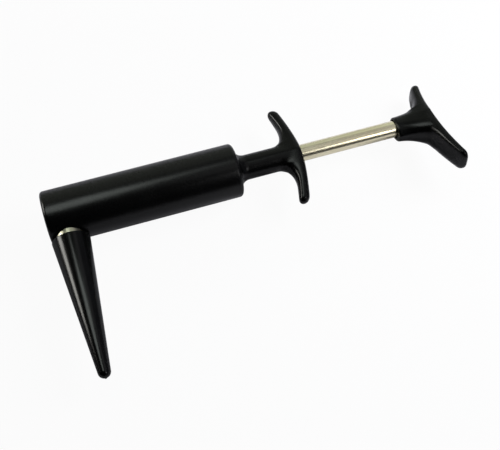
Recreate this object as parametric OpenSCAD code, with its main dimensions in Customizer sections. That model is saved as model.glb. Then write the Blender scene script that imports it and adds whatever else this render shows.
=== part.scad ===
// Air pump wine opener: a hand pump that blows air through a hollow needle and lifts the cork.
// The pump lies along X with its plunger drawn out, the needle points along -Y, and +Z is up.
// The origin is the centre of the flat closed end of the casing. Sizes are in millimetres.

/* [Casing] */
// Outside diameter of the casing
casing_d = 38; // [34:0.5:46]
// Length of the casing
casing_len = 134.5; // [120:0.5:160]
// Wall of the casing
casing_wall = 3; // [2.2:0.1:3.5]
// Rounding of the casing's outer edges
casing_edge = 2.6; // [0.5:0.1:3]

/* [Pump] */
// Bore of the pump barrel
barrel_bore = 16; // [15:0.1:18]
// Wall of the pump barrel
barrel_wall = 1.5; // [1:0.1:2]
// Depth that each end of the barrel is let in
barrel_let_in = 8; // [6:0.5:10]
// Thickness of the seals at the barrel's ends
seal_t = 1.2; // [0.8:0.1:2]
// Length of the piston head
piston_len = 14; // [10:0.5:20]
// Length of the rubber ring that stops the drawn plunger
stop_len = 8; // [6:0.5:9]
// Space left in front of the piston when it is pushed home
dead_gap = 4.3; // [2:0.1:6]

/* [Valve] */
// Length of the valve block that closes the casing
block_len = 28; // [27:0.5:34]
// Diameter of the valve ball
ball_d = 5; // [4.5:0.1:5.6]
// Diameter of the valve chamber
chamber_d = 8; // [7.6:0.1:9]
// Thickness of the valve seat
seat_t = 3; // [2.4:0.1:3.4]
// Diameter of the air ports
port_d = 3; // [2:0.1:3.4]
// Curls of the valve spring
spring_curls = 5; // [3:1:6]
// Wire of the valve spring
spring_wire = 0.5; // [0.3:0.05:0.6]
// Diameter of the valve spring at the middle of its wire
spring_d = 3.2; // [2.8:0.1:3.6]

/* [Needle] */
// Diameter of the hollow needle
needle_d = 2.6; // [2.2:0.1:3]
// Bore of the hollow needle
needle_bore = 1.5; // [1:0.1:1.7]
// Length of the needle that stands out of the casing
needle_reach = 82; // [70:1:88]
// Length of the needle's point
needle_point = 5; // [3:0.5:8]
// Diameter of the collar that holds the needle
collar_d = 21.6; // [20:0.1:23]
// Height of the collar above the casing
collar_h = 9; // [7:0.5:12]
// Diameter of the collar's stud in the valve block
stud_d = 10; // [9:0.5:11]
// Length of the collar's stud
stud_len = 7; // [5:0.5:8]
// Thickness of the ring that holds the needle cover
cover_ring_d = 1.8; // [1.4:0.1:2.2]

/* [Needle cover] */
// Length of the cover from its rim to its tip
cover_len = 98.4; // [94:0.1:110]
// Diameter of the cover's rounded tip
cover_tip_d = 8.5; // [8:0.1:10]
// Wall of the cover
cover_wall = 1.9; // [1.4:0.1:2.2]
// Gap between the cover's rim and the casing
cover_gap = 0.4; // [0.3:0.1:1]

/* [Grip cap] */
// Length of the cap's plug in the casing
cap_plug_len = 20; // [16:0.5:26]
// Wall of the neck around the rod's bush
neck_wall = 1.55; // [1.2:0.05:2.5]
// Rounding where the neck leaves the cap's face
neck_fillet = 6.8; // [2:0.1:7]
// Distance from the casing's end to the outer face of the finger flange
flange_reach = 47.8; // [42:0.1:56]
// Span of the finger flange across its tips
flange_span = 77; // [66:0.5:86]
// Distance that the flange's tips sweep back towards the casing
flange_sweep = 6.8; // [0:0.1:10]
// Thickness of the flange's arms
flange_t = 7.8; // [6:0.1:9]
// Width of the flange's arms at their tips
flange_tip_w = 8; // [7:0.1:12]
// Length of the blend along the neck
flange_flare = 11; // [4:0.1:14]
// Length of the blend along the arms
flange_blend = 17; // [6:0.1:19]

/* [Plunger] */
// Diameter of the piston rod
rod_d = 12; // [10.5:0.1:12.8]
// Wall of the piston rod's tube
rod_wall = 1.5; // [1:0.1:2]
// Length of the rod's bush
bush_len = 36; // [20:1:38]
// Wall of the rod's bush
bush_wall = 1.2; // [0.8:0.1:1.6]
// Thickness of the wiper ring at the mouth of the neck
wiper_t = 3.5; // [2:0.1:4]
// Diameter of the shoulder screw on which the rod turns
screw_d = 5; // [4:0.1:5.5]

/* [Palm handle] */
// Length of the handle from its mouth to the palm face
handle_len = 28.3; // [24:0.1:34]
// Depth of the rod's socket in the handle
socket_depth = 17; // [14:0.5:18]
// Reach of the long arm from the rod's axis
long_arm = 46.5; // [40:0.5:54]
// Reach of the short arm from the rod's axis
short_arm = 32.3; // [27:0.1:40]
// Distance that the long arm's tip stands out past the palm face
long_sweep = 8.6; // [0:0.1:12]
// Distance that the short arm's tip stands out past the palm face
short_sweep = 4.6; // [0:0.1:8]
// Thickness of the long arm at its tip
long_t = 5.9; // [5:0.1:8]
// Thickness of the short arm at its tip
short_t = 7; // [5:0.1:8]
// Extra thickness that the long arm gains on its way to the rod
long_taper = 4; // [0:0.1:6]
// Extra thickness that the short arm gains on its way to the rod
short_taper = 2.3; // [0:0.1:4]
// Length of the long arm's blend along the hub
long_flare = 11.9; // [8:0.1:13]
// Length of the long arm's blend along the arm
long_blend = 17; // [8:0.1:20]
// Length of the short arm's blend along the hub
short_flare = 10.2; // [6:0.1:13]
// Length of the short arm's blend along the arm
short_blend = 10.9; // [6:0.1:12]
// Width of the palm face at the rod
palm_w = 24.5; // [22:0.1:30]
// Width of the palm face at the long arm's tip
long_tip_w = 17.4; // [12:0.1:22]
// Width of the palm face at the short arm's tip
short_tip_w = 14.6; // [12:0.1:22]
// Wall of the handle's mouth around the rod
mouth_wall = 1.2; // [1:0.1:2]
// Extra thickness of the hub on the long arm's side
hub_swell = 2.8; // [0:0.1:4]
// Turn of the handle about the rod, long arm upwards
handle_roll = 13.6; // [-180:0.1:180]

/* [Fits] */
// Radial gap of the fits that run or slide
run_gap = 0.05; // [0.02:0.01:0.08]
// Radial gap of the fixed fits
fixed_gap = 0.04; // [0.02:0.01:0.08]
// Radial gap between the cover and the collar
cover_slip = 0.2; // [0.1:0.05:0.3]
// Gap between parts that stop short of each other
stop_gap = 0.3; // [0.2:0.05:0.5]

/* [Hidden] */
$fn = 96;
// Overlap of a cutter past the face that it opens
past = 1;
// Steps of a rounded edge and of a tip's rounding
edge_steps = 6;
tip_steps = 12;
// Rings at the tip, along the free part and in the blend of a moulded arm, and corners of each ring
tip_rings = 8;
free_rings = 3;
blend_rings = 9;
arm_sides = 28;
// Rings in one curl of the spring and corners of its wire
curl_rings = 8;
wire_sides = 6;

casing_r = casing_d / 2;
casing_ir = casing_r - casing_wall;
casing_round = min(casing_edge, casing_wall - stop_gap);
plug_r = casing_ir - fixed_gap;

barrel_ir = barrel_bore / 2;
barrel_or = barrel_ir + barrel_wall;
socket_r = barrel_or + fixed_gap;
floor_x = block_len - barrel_let_in;
cap_x = casing_len - cap_plug_len;
cap_floor_x = cap_x + barrel_let_in;
barrel_x0 = floor_x + seal_t;
barrel_x1 = cap_floor_x - seal_t;
seal_relief = 0.1;
seal_ir = barrel_ir + seal_relief;

// Needle collar and cover, measured along the needle from the pump's axis
collar_r = collar_d / 2;
cover_bore_r = collar_r + cover_slip;
cover_rim_r = cover_bore_r + cover_wall;
needle_x = cover_rim_r;
spot_depth = 1.5;
gasket_t = 1.2;
boss_ledge = 2.4;
boss_r = stud_d / 2 + boss_ledge;
boss_gap = 0.4;
hole_r = boss_r + boss_gap;
spot_d = casing_ir - spot_depth;
stud_hole_d = spot_d - stud_len;
boss_d = spot_d + gasket_t + fixed_gap;
collar_end_d = casing_r + collar_h;
nose_h = 3;
nose_r0 = 4.5;
nose_r1 = 3;
needle_let_in = 2;
needle_seat_d = spot_d - needle_let_in;
needle_tip_d = casing_r + needle_reach;
vent_back = 8;
vent_d = 1;
groove_back = 4;
cover_rim_d = casing_r + cover_gap;
seat_relief = 0.6;
cover_seat = collar_h - cover_gap + seat_relief;
cover_tip_r = cover_tip_d / 2;
tip_centre = cover_len - cover_tip_r;
cover_angle = acos(cover_tip_r / norm([cover_rim_r, tip_centre])) - atan2(tip_centre, cover_rim_r);
nub_r = 0.7;
nub_h = 0.4;
// Angle at which the tip's rounding runs into its nub
nub_angle = 80;
rim_edge = 0.6;

// Check valve in the block
chamber_r = chamber_d / 2;
chamber_back = 4.9;
chamber_x0 = needle_x - chamber_back;
seat_x0 = floor_x - seat_t;
ball_r = ball_d / 2;
port_r = port_d / 2;
seat_cone_x = seat_x0 + ball_r - port_r;
ball_x = seat_cone_x + port_r - sqrt(2) * (ball_r + run_gap);
spring_r = spring_d / 2;
spring_x0 = chamber_x0 + spring_wire / 2 + run_gap;
spring_x1 = ball_x - sqrt(pow(ball_r + spring_wire / 2 + run_gap, 2) - pow(spring_r, 2));

// Plunger, drawn out to its stop
rod_r = rod_d / 2;
rod_ir = rod_r - rod_wall;
rod_room = rod_r + stop_gap;
screw_r = screw_d / 2;
cup_base = 1.4;
cup_len = 5;
cup_lip = 1.2;
washer_t = 1.4;
screw_head_h = 3;
screw_ledge = 1.7;
screw_head_r = screw_r + screw_ledge;
screw_shoulder = 0.5;
screw_thread_r = screw_r - screw_shoulder;
screw_thread_len = 9;
screw_play = 0.1;
rod_plug_len = 15;
flute_r = 1.2;
flutes = 4;
stop_x0 = cap_floor_x - stop_len;
piston_x1 = stop_x0 - stop_gap;
piston_x0 = piston_x1 - piston_len;
washer_x1 = piston_x0 - cup_base;
washer_x0 = washer_x1 - washer_t;
screw_x0 = washer_x0 - screw_play - screw_head_h;
rod_x0 = piston_x1 + run_gap;
stroke = screw_x0 - floor_x - dead_gap;

// Grip cap
bush_r = rod_r + bush_wall;
bush_seat_r = bush_r + fixed_gap;
neck_r = bush_seat_r + neck_wall;
bush_shelf = 6;
bush_x0 = casing_len + bush_shelf;
wiper_x0 = bush_x0 + bush_len;
wiper_lip = 0.3;
wiper_body = 0.7;
flange_x = casing_len + flange_reach;
flange_half = flange_span / 2;
flange_tip_extra = 0.5;
flange_round = flange_t / 2 + flange_tip_extra;
flange_root = neck_r - stop_gap;
flange_root_w = neck_r + stop_gap;
flange_run = min(flange_blend, flange_half - flange_round - flange_root - past);
flange_curve = 1.6;
// Squareness of the sections: 2 is an ellipse, less is a wedge, more is a rounded bar
root_power = 1.7;
flange_power = 2.5;
neck_round = min(neck_fillet, plug_r - neck_r - stop_gap);
plug_chamfer = 0.8;

// Palm handle
home_gap = 0.6;
handle_x = flange_x + stroke + home_gap;
palm_x = handle_x + handle_len;
rod_x1 = handle_x + socket_depth;
mouth_gap = 0.9;
mouth_depth = 2.5;
mouth_r = rod_r + mouth_gap + mouth_wall;
mouth_edge = 1;
hub_short = 6;
hub_len = handle_len - hub_short;
hub_inset = 0.5;
hub_growth = 1.3;
hub_r = palm_w / 2 - hub_inset;
arm_root = mouth_r - stop_gap;
arm_tip_extra = 1.5;
long_round = long_t / 2 + arm_tip_extra;
short_round = short_t / 2 + arm_tip_extra;
arm_curve = 1.8;
arm_power = 2.9;
long_run = min(long_blend, long_arm - long_round - arm_root - past);
short_run = min(short_blend, short_arm - short_round - arm_root - past);
// Share of the palm face's width that is left at the very tips
tip_w_share = 0.3;
// Least share of an arm's section, so that its last ring still has a face
tip_least = 0.17;
stud_tail_r = 3;
stud_tail_len = 6;
stud_plug_len = 12;

// Points of an arc about a centre, from one angle to another
function arc(cx, cy, r, a0, a1, steps) =
    [for (i = [0:steps]) let (a = a0 + (a1 - a0) * i / steps) [cx + r * cos(a), cy + r * sin(a)]];

// Power of a number that keeps its sign
function signed_pow(x, p) = sign(x) * pow(abs(x), p);

// Share of full section left at a distance from the middle of an arm with a rounded tip
function tip_share(d, reach, round) =
    let (e = max(0, (d - reach + round) / round)) max(tip_least, sqrt(max(0, 1 - e * e)));

// Share of a blend left at a distance: 1 at the root, and 0 where the arm runs free, along an ellipse
function blend_share(d, root, run) =
    let (e = 1 - min(1, max(0, (d - root) / run))) 1 - sqrt(1 - e * e);

// Places of an arm's rings from its tip to its root, closest where the outline turns
function arm_places(reach, round, root, run) = concat(
    [for (i = [0:tip_rings]) reach - round * (1 - cos(90 * i / tip_rings))],
    [for (i = [1:free_rings]) let (t = i / (free_rings + 1)) (reach - round) * (1 - t) + (root + run) * t],
    [for (i = [0:blend_rings]) root + run * (1 - sin(90 * i / blend_rings))]
);

// Places of both arms' rings, from the tip at -Y to the tip at +Y
function bar_places(low, high) =
    concat(-low, [0], [for (i = [len(high) - 1:-1:0]) high[i]]);

// Squareness of an arm's back, from the free arm's to the root's as the blend rises
function back_power(free, rise) = free + (root_power - free) * sqrt(rise);

// One ring of a moulded arm: place across, widest line, half width, and depth and squareness of [front, back]
function arm_ring(y, x, half_w, depth, power) = [
    for (i = [0:arm_sides - 1]) let (a = 360 * i / arm_sides, k = cos(a) < 0 ? 1 : 0) [
        x + depth[k] * signed_pow(cos(a), 2 / power[k]),
        y,
        half_w * signed_pow(sin(a), 2 / power[k])
    ]
];

// One ring of the palm handle's bar, from the sizes of the arm that it belongs to
function palm_ring(y, reach, sweep, round, tip_w, t, taper, flare, run) =
    let (
        d = abs(y),
        share = tip_share(d, reach, round),
        rise = blend_share(d, arm_root, run),
        half_w = (palm_w + (tip_w - palm_w) * d / reach) / 2,
        back = t / 2 + taper * (1 - d / reach) + flare * rise
    )
    arm_ring(y, palm_x - t / 2 + sweep * pow(d / reach, arm_curve),
        half_w * (tip_w_share + (1 - tip_w_share) * share),
        [t / 2, back] * share,
        [arm_power, back_power(arm_power, rise)]);

// One ring of the handle's hub, thicker towards the long arm at -Y
function hub_ring(x, r, swell) = [
    for (i = [0:arm_sides - 1]) let (a = 360 * i / arm_sides)
        [x, -(cos(a) > 0 ? r + swell : r) * cos(a), r * sin(a)]
];

// Triangles that join rings of the same number of corners and close both ends
function loft_faces(rings, sides) = concat(
    [for (j = [0:rings - 2], i = [0:sides - 1]) let (k = (i + 1) % sides)
        [j * sides + i, j * sides + k, (j + 1) * sides + k]],
    [for (j = [0:rings - 2], i = [0:sides - 1]) let (k = (i + 1) % sides)
        [j * sides + i, (j + 1) * sides + k, (j + 1) * sides + i]],
    [for (i = [1:sides - 2]) [0, i + 1, i]],
    [for (i = [1:sides - 2]) let (b = (rings - 1) * sides) [b, b + i, b + i + 1]]
);

module loft(rings) {
    sides = len(rings[0]);
    polyhedron([for (ring = rings) each ring], loft_faces(len(rings), sides));
}

// Turns a shape drawn along Z to lie along the pump's axis
module along_pump() {
    rotate([0, 90, 0]) children();
}

// Turns a shape drawn along Z to lie along the needle
module along_needle() {
    translate([needle_x, 0, 0]) rotate([90, 0, 0]) children();
}

// Solid of revolution about the pump's axis, from [radius, x] points
module turned(points) {
    along_pump() rotate_extrude() polygon(points);
}

// Round rod about the pump's axis
module rod_shape(r, x0, x1) {
    translate([x0, 0, 0]) along_pump() cylinder(r = r, h = x1 - x0);
}

// Ring about the pump's axis
module ring_shape(ir, or, x0, x1) {
    difference() {
        rod_shape(or, x0, x1);
        rod_shape(ir, x0 - past, x1 + past);
    }
}

// Round rod about the needle's axis, between two distances from the pump's axis
module pin_shape(r, d0, d1) {
    translate([0, 0, d0]) cylinder(r = r, h = d1 - d0);
}

// Tube that shows: rounded outer edges, and a hole for the needle's collar
module casing() {
    e = casing_round;
    color("#1b1b1c") difference() {
        turned(concat(
            [[casing_ir, 0]],
            arc(casing_r - e, e, e, -90, 0, edge_steps),
            arc(casing_r - e, casing_len - e, e, 0, 90, edge_steps),
            [[casing_ir, casing_len]]
        ));
        along_needle() pin_shape(hole_r, spot_d, casing_r + past);
    }
}

// Block that closes the casing and holds the barrel, the check valve and the needle
module valve_block() {
    color("#2b2b2d") difference() {
        rod_shape(plug_r, 0, block_len);
        rod_shape(socket_r, floor_x, block_len + past);
        rod_shape(chamber_r, chamber_x0, floor_x + past);
        along_needle() {
            pin_shape(hole_r, spot_d, casing_r);
            pin_shape(stud_d / 2 + fixed_gap, stud_hole_d, casing_r);
            pin_shape(port_r, 0, stud_hole_d + past);
        }
    }
}

// Seat that the valve ball closes, let into the block from the barrel's side
module valve_seat() {
    color("#c9a24a") turned([
        [port_r, floor_x],
        [port_r, seat_cone_x],
        [ball_r, seat_x0],
        [chamber_r - fixed_gap, seat_x0],
        [chamber_r - fixed_gap, floor_x]
    ]);
}

// Steel ball of the check valve
module valve_ball() {
    color("#b9bcc0") translate([ball_x, 0, 0]) sphere(r = ball_r);
}

// Middle of the spring's wire at a number of curls from its fixed end
function spring_point(turn) = [
    spring_x0 + (spring_x1 - spring_x0) * turn / spring_curls,
    spring_r * cos(360 * turn),
    spring_r * sin(360 * turn)
];

// One ring of the spring's wire
function wire_ring(turn) =
    let (
        lead = (spring_x1 - spring_x0) / spring_curls / (2 * PI),
        out = [0, cos(360 * turn), sin(360 * turn)],
        slant = norm([lead, spring_r]),
        side = [spring_r, lead * sin(360 * turn), -lead * cos(360 * turn)] / slant
    )
    [for (i = [0:wire_sides - 1]) let (a = 360 * i / wire_sides)
        spring_point(turn) + spring_wire / 2 * (cos(a) * side - sin(a) * out)];

// Spring that holds the ball on its seat
module valve_spring() {
    points = [for (i = [0:spring_curls * curl_rings]) spring_point(i / curl_rings)];
    spans = [for (i = [0:len(points) - 1], j = [i + curl_rings / 2:1:len(points) - 1])
        norm(points[i] - points[j])];
    echo(valve_spring_least_gap = min(spans) - spring_wire);
    color("#9fa3a8") loft([for (i = [0:spring_curls * curl_rings]) wire_ring(i / curl_rings)]);
}

// Inner tube that the piston runs in
module barrel() {
    color("#c8a75a") ring_shape(barrel_ir, barrel_or, barrel_x0, barrel_x1);
}

// Seal between the barrel and the valve block
module front_seal() {
    color("#222222") ring_shape(seal_ir, barrel_or, floor_x, barrel_x0);
}

// Seal between the barrel and the grip cap
module rear_seal() {
    color("#222222") ring_shape(seal_ir, barrel_or, barrel_x1, cap_floor_x);
}

// Rubber ring that stops the drawn plunger
module stop_ring() {
    color("#303030") ring_shape(rod_room, barrel_ir - stop_gap, stop_x0, cap_floor_x);
}

// Plated collar that seats on the casing, screws into the block and holds the needle
module needle_collar() {
    groove_d = collar_end_d - groove_back;
    groove_half = cover_ring_d / 2 + stop_gap / 3;
    groove_r = cover_bore_r - run_gap - cover_ring_d - fixed_gap;
    color("#d9cfae") difference() {
        union() {
            along_needle() {
                pin_shape(stud_d / 2, stud_hole_d + stop_gap, casing_r);
                pin_shape(boss_r, boss_d, casing_r);
                translate([0, 0, collar_end_d]) cylinder(r1 = nose_r0, r2 = nose_r1, h = nose_h);
            }
            difference() {
                along_needle() pin_shape(collar_r, casing_r / 2, collar_end_d);
                rod_shape(casing_r + fixed_gap, -casing_r, casing_len / 2);
            }
        }
        along_needle() {
            pin_shape(needle_d / 2 + fixed_gap, needle_seat_d, collar_end_d + nose_h + past);
            pin_shape(needle_bore / 2, 0, needle_seat_d + past);
            difference() {
                pin_shape(collar_r + past, groove_d - groove_half, groove_d + groove_half);
                pin_shape(groove_r, 0, collar_end_d);
            }
        }
    }
}

// Flat seal under the collar's boss
module collar_gasket() {
    color("#2a2a2a") along_needle() difference() {
        pin_shape(boss_r, spot_d, spot_d + gasket_t);
        pin_shape(stud_d / 2 + fixed_gap, 0, casing_r);
    }
}

// Rubber ring on the collar that grips the needle cover
module cover_ring() {
    color("#242424") along_needle() translate([0, 0, collar_end_d - groove_back]) rotate_extrude()
        translate([cover_bore_r - run_gap - cover_ring_d / 2, 0]) circle(d = cover_ring_d);
}

// Hollow needle with a solid point and a cross vent behind it
module needle() {
    point_d = needle_tip_d - needle_point;
    vent_at = needle_tip_d - vent_back;
    color("#d5d7da") along_needle() difference() {
        union() {
            pin_shape(needle_d / 2, needle_seat_d, point_d);
            translate([0, 0, point_d]) cylinder(r1 = needle_d / 2, r2 = 0, h = needle_point);
        }
        pin_shape(needle_bore / 2, needle_seat_d - past, vent_at + vent_d / 2);
        translate([0, 0, vent_at]) rotate([0, 90, 0])
            cylinder(d = vent_d, h = needle_d + past, center = true);
    }
}

// Radius of the cover's outer cone at a distance from its rim
function cover_radius(d) = (cover_tip_r - (d - tip_centre) * sin(cover_angle)) / cos(cover_angle);

// Moulded cover that slips over the collar and guards the needle
module needle_cover() {
    wall = cover_wall / cos(cover_angle);
    color("#0d0d0e") along_needle() translate([0, 0, cover_rim_d]) rotate_extrude() polygon(concat(
        [[cover_bore_r + rim_edge, 0]],
        arc(cover_rim_r - rim_edge, rim_edge, rim_edge, -90, 0, edge_steps),
        arc(0, tip_centre, cover_tip_r, cover_angle, nub_angle, tip_steps),
        [[nub_r, cover_len], [nub_r, cover_len + nub_h / 2], [nub_r / 2, cover_len + nub_h]],
        [[0, cover_len + nub_h]],
        [[0, tip_centre], [cover_radius(tip_centre) - wall, tip_centre]],
        [[cover_radius(cover_seat) - wall, cover_seat], [cover_bore_r, cover_seat]],
        [[cover_bore_r, rim_edge]]
    ));
}

// Moulded cap: plug, neck and finger flange in one piece
module grip_cap() {
    color("#161618") difference() {
        union() {
            turned(concat(
                [[0, cap_x], [plug_r - plug_chamfer, cap_x], [plug_r, cap_x + plug_chamfer]],
                [[plug_r, casing_len]],
                arc(neck_r + neck_round, casing_len + neck_round, neck_round, 270, 180, edge_steps),
                [[neck_r, flange_x - flange_t], [0, flange_x - flange_t]]
            ));
            finger_flange();
        }
        rod_shape(socket_r, cap_x - past, cap_floor_x);
        rod_shape(rod_room, cap_x, flange_x + past);
        rod_shape(bush_seat_r, bush_x0, flange_x + past);
    }
}

// Swept finger flange: two arms that taper and round off, blended into the neck
module finger_flange() {
    places = arm_places(flange_half, flange_round, flange_root, flange_run);
    loft([for (y = bar_places(places, places)) let (
            d = abs(y),
            share = tip_share(d, flange_half, flange_round),
            rise = blend_share(d, flange_root, flange_run),
            half_w = flange_root_w + (flange_tip_w / 2 - flange_root_w) * d / flange_half
        )
        arm_ring(y, flange_x - flange_t / 2 - flange_sweep * pow(d / flange_half, flange_curve),
            half_w * share,
            [flange_t / 2, flange_t / 2 + flange_flare * rise] * share,
            [flange_power, back_power(flange_power, rise)])]);
}

// Bearing for the rod in the neck
module rod_bush() {
    color("#d8d2c0") ring_shape(rod_r + run_gap, bush_r, bush_x0, wiper_x0);
}

// Wiper ring that keeps dirt off the bush, with a lip towards the mouth
module rod_wiper() {
    color("#2c2c2c") turned([
        [rod_r + run_gap * 2, wiper_x0],
        [bush_r, wiper_x0],
        [bush_r, wiper_x0 + wiper_t * wiper_body],
        [rod_r + run_gap + wiper_lip, wiper_x0 + wiper_t],
        [rod_r + run_gap, wiper_x0 + wiper_t],
        [rod_r + run_gap, wiper_x0 + wiper_t * wiper_body]
    ]);
}

// Piston head with flutes that let air past to the cup
module piston_head() {
    r = barrel_ir - run_gap * 1.5;
    color("#8d8f93") difference() {
        rod_shape(r, piston_x0, piston_x1);
        rod_shape(screw_r + run_gap, piston_x0 - past, piston_x1 + past);
        for (i = [0:flutes - 1])
            rotate([360 * i / flutes, 0, 0]) translate([0, r, 0])
                rod_shape(flute_r, piston_x0 - past, piston_x1 + past);
    }
}

// Cup seal whose lip faces the air that the piston presses
module piston_cup() {
    lip_r = barrel_ir - run_gap;
    color("#1f1f1f") turned([
        [screw_r + run_gap, piston_x0],
        [lip_r - cup_lip / 3, piston_x0],
        [lip_r, piston_x0 - cup_len + cup_lip],
        [lip_r, piston_x0 - cup_len],
        [lip_r - cup_lip / 2, piston_x0 - cup_len],
        [lip_r - cup_lip, washer_x1],
        [screw_r + run_gap, washer_x1]
    ]);
}

// Washer that spreads the screw's hold over the cup
module cup_washer() {
    color("#b4b7bb") ring_shape(screw_r + run_gap, barrel_ir - cup_lip * 2, washer_x0, washer_x1);
}

// Shoulder screw on which the rod turns in the piston
module piston_screw() {
    color("#a7aaae") difference() {
        union() {
            rod_shape(screw_head_r, screw_x0, screw_x0 + screw_head_h);
            rod_shape(screw_r, screw_x0, rod_x0);
            rod_shape(screw_thread_r, rod_x0, rod_x0 + screw_thread_len);
        }
        translate([screw_x0 - past, 0, 0]) along_pump()
            cylinder(r = screw_head_r / 2, h = screw_head_h / 2 + past, $fn = 6);
    }
}

// Turned plug in the rod's inner end that takes the shoulder screw
module rod_plug() {
    color("#b59a5a") difference() {
        rod_shape(rod_ir - fixed_gap, rod_x0, rod_x0 + rod_plug_len);
        rod_shape(screw_thread_r + fixed_gap, rod_x0 - past, rod_x0 + screw_thread_len + stop_gap);
    }
}

// Bright tube that carries the piston
module piston_rod() {
    color("#d9d4c4") ring_shape(rod_ir, rod_r, rod_x0, rod_x1);
}

// Plug in the rod's outer end with a stud that holds the handle
module handle_stud() {
    color("#9b9ea2") union() {
        rod_shape(rod_ir - fixed_gap, rod_x1 - stud_plug_len, rod_x1);
        rod_shape(stud_tail_r, rod_x1, rod_x1 + stud_tail_len);
    }
}

// Moulded palm handle: a hub for the rod, a long arm for the palm and a short one for the thumb
module palm_handle() {
    color("#161618") difference() {
        rotate([-handle_roll, 0, 0]) {
            palm_hub();
            palm_bar();
        }
        rod_shape(rod_r + mouth_gap, handle_x - past, handle_x + mouth_depth);
        rod_shape(rod_r + fixed_gap, handle_x - past, rod_x1);
        rod_shape(stud_tail_r + fixed_gap, rod_x1 - past, rod_x1 + stud_tail_len + stop_gap);
    }
}

// Hub of the palm handle: an egg-shaped flare with a rounded mouth
module palm_hub() {
    loft(concat(
        [for (i = [0:edge_steps]) let (a = 90 * i / edge_steps)
            hub_ring(handle_x + mouth_edge * (1 - cos(a)), mouth_r - mouth_edge * (1 - sin(a)), hub_swell)],
        [for (i = [1:tip_steps]) let (t = i / tip_steps)
            hub_ring(handle_x + mouth_edge + (hub_len - mouth_edge) * t,
                mouth_r + (hub_r - mouth_r) * t * t, hub_swell * (1 + hub_growth * t * t))]
    ));
}

// Curved bar of the palm handle, from the long arm's tip at -Y to the short arm's at +Y
module palm_bar() {
    places = bar_places(
        arm_places(long_arm, long_round, arm_root, long_run),
        arm_places(short_arm, short_round, arm_root, short_run)
    );
    loft([for (y = places) y < 0
        ? palm_ring(y, long_arm, long_sweep, long_round, long_tip_w,
            long_t, long_taper, long_flare, long_run)
        : palm_ring(y, short_arm, short_sweep, short_round, short_tip_w,
            short_t, short_taper, short_flare, short_run)
    ]);
}

casing();
valve_block();
valve_seat();
valve_ball();
valve_spring();
barrel();
front_seal();
rear_seal();
stop_ring();
needle_collar();
collar_gasket();
cover_ring();
needle();
needle_cover();
grip_cap();
rod_bush();
rod_wiper();
piston_head();
piston_cup();
cup_washer();
piston_screw();
rod_plug();
piston_rod();
handle_stud();
palm_handle();
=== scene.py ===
"""Looks of an air pump wine opener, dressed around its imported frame.

The pump lies along X, the needle points along -Y and +Z is up. Sizes in the classes are in millimetres, and
meshes are in metres.
"""

import logging
import math
from dataclasses import dataclass, fields
from enum import Enum

import bmesh
import bpy
import numpy as np
from mathutils import Matrix, Vector


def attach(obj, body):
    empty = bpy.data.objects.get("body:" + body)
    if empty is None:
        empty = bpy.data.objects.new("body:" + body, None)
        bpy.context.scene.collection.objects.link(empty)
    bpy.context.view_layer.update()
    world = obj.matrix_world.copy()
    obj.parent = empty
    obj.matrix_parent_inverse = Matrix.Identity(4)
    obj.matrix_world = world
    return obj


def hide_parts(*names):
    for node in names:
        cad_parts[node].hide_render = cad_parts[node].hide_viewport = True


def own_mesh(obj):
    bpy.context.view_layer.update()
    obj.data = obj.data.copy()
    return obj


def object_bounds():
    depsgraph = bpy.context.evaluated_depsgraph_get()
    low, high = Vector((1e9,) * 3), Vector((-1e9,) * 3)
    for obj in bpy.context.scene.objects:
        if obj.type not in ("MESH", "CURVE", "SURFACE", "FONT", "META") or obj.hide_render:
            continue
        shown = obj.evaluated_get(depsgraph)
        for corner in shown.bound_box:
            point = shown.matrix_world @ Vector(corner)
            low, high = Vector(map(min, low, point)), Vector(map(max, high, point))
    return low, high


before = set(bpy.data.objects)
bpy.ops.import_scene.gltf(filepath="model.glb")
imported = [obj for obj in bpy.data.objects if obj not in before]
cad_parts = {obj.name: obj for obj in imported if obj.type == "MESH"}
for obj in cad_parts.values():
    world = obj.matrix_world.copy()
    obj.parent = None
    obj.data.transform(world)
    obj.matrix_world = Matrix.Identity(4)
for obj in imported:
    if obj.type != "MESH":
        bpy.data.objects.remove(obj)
CAD_BOX = [list(corner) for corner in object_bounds()]

MM = 0.001  # metres in a millimetre
TOUCH = 1e-6  # distance at which points count as one
NEEDLE_X = 12.9  # place of the needle along the pump, in millimetres
CUT_SPARE = 1.0  # millimetres by which a cutting tool stands past what it cuts
COLOUR_A, COLOUR_B, COLOUR_OUT = 6, 7, 2  # sockets of a Mix node for colours
VALUE_A, VALUE_B = 2, 3  # sockets of a Mix node for plain values
Colour = tuple[float, float, float]
Place = tuple[float, float, float]
Span = tuple[float, float]
Outline = list[Span]
Tree = bpy.types.NodeTree
Socket = bpy.types.NodeSocket
Mesh = bpy.types.Mesh
Inputs = dict[str | int, object]
log = logging.getLogger("opener")


class Body(Enum):
    """Bodies of the frame that pieces ride on."""

    PUMP = "pump_body"
    PLUNGER = "plunger"
    COVER = "cover"


class Slot(Enum):
    """Material slots of the record."""

    CASING = "casing_black"
    BLOCK = "block_metal"
    BRASS = "valve_brass"
    STEEL = "valve_steel"
    RUBBER = "seal_rubber"
    COLLAR = "collar_plate"
    NEEDLE = "needle_steel"
    COVER = "cover_black"
    GRIP = "grip_black"
    BUSH = "bush_plastic"
    ROD = "rod_bright"


class Axis(Enum):
    """The opener's two axes of turned parts."""

    PUMP = "pump"
    NEEDLE = "needle"


class Grain(Enum):
    """Ways in which a surface's grain is stretched, as a scale along X, Y and Z."""

    EVEN = (1.0, 1.0, 1.0)
    DRAWN = (0.012, 1.0, 1.0)
    TURNED = (1.0, 0.03, 0.03)
    TURNED_NEEDLE = (0.03, 1.0, 0.03)


class Shine(Enum):
    """What a lamp does: it shows in gloss, or it lights the floor and dull surfaces."""

    GLOSS = "gloss"
    FILL = "fill"


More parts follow.
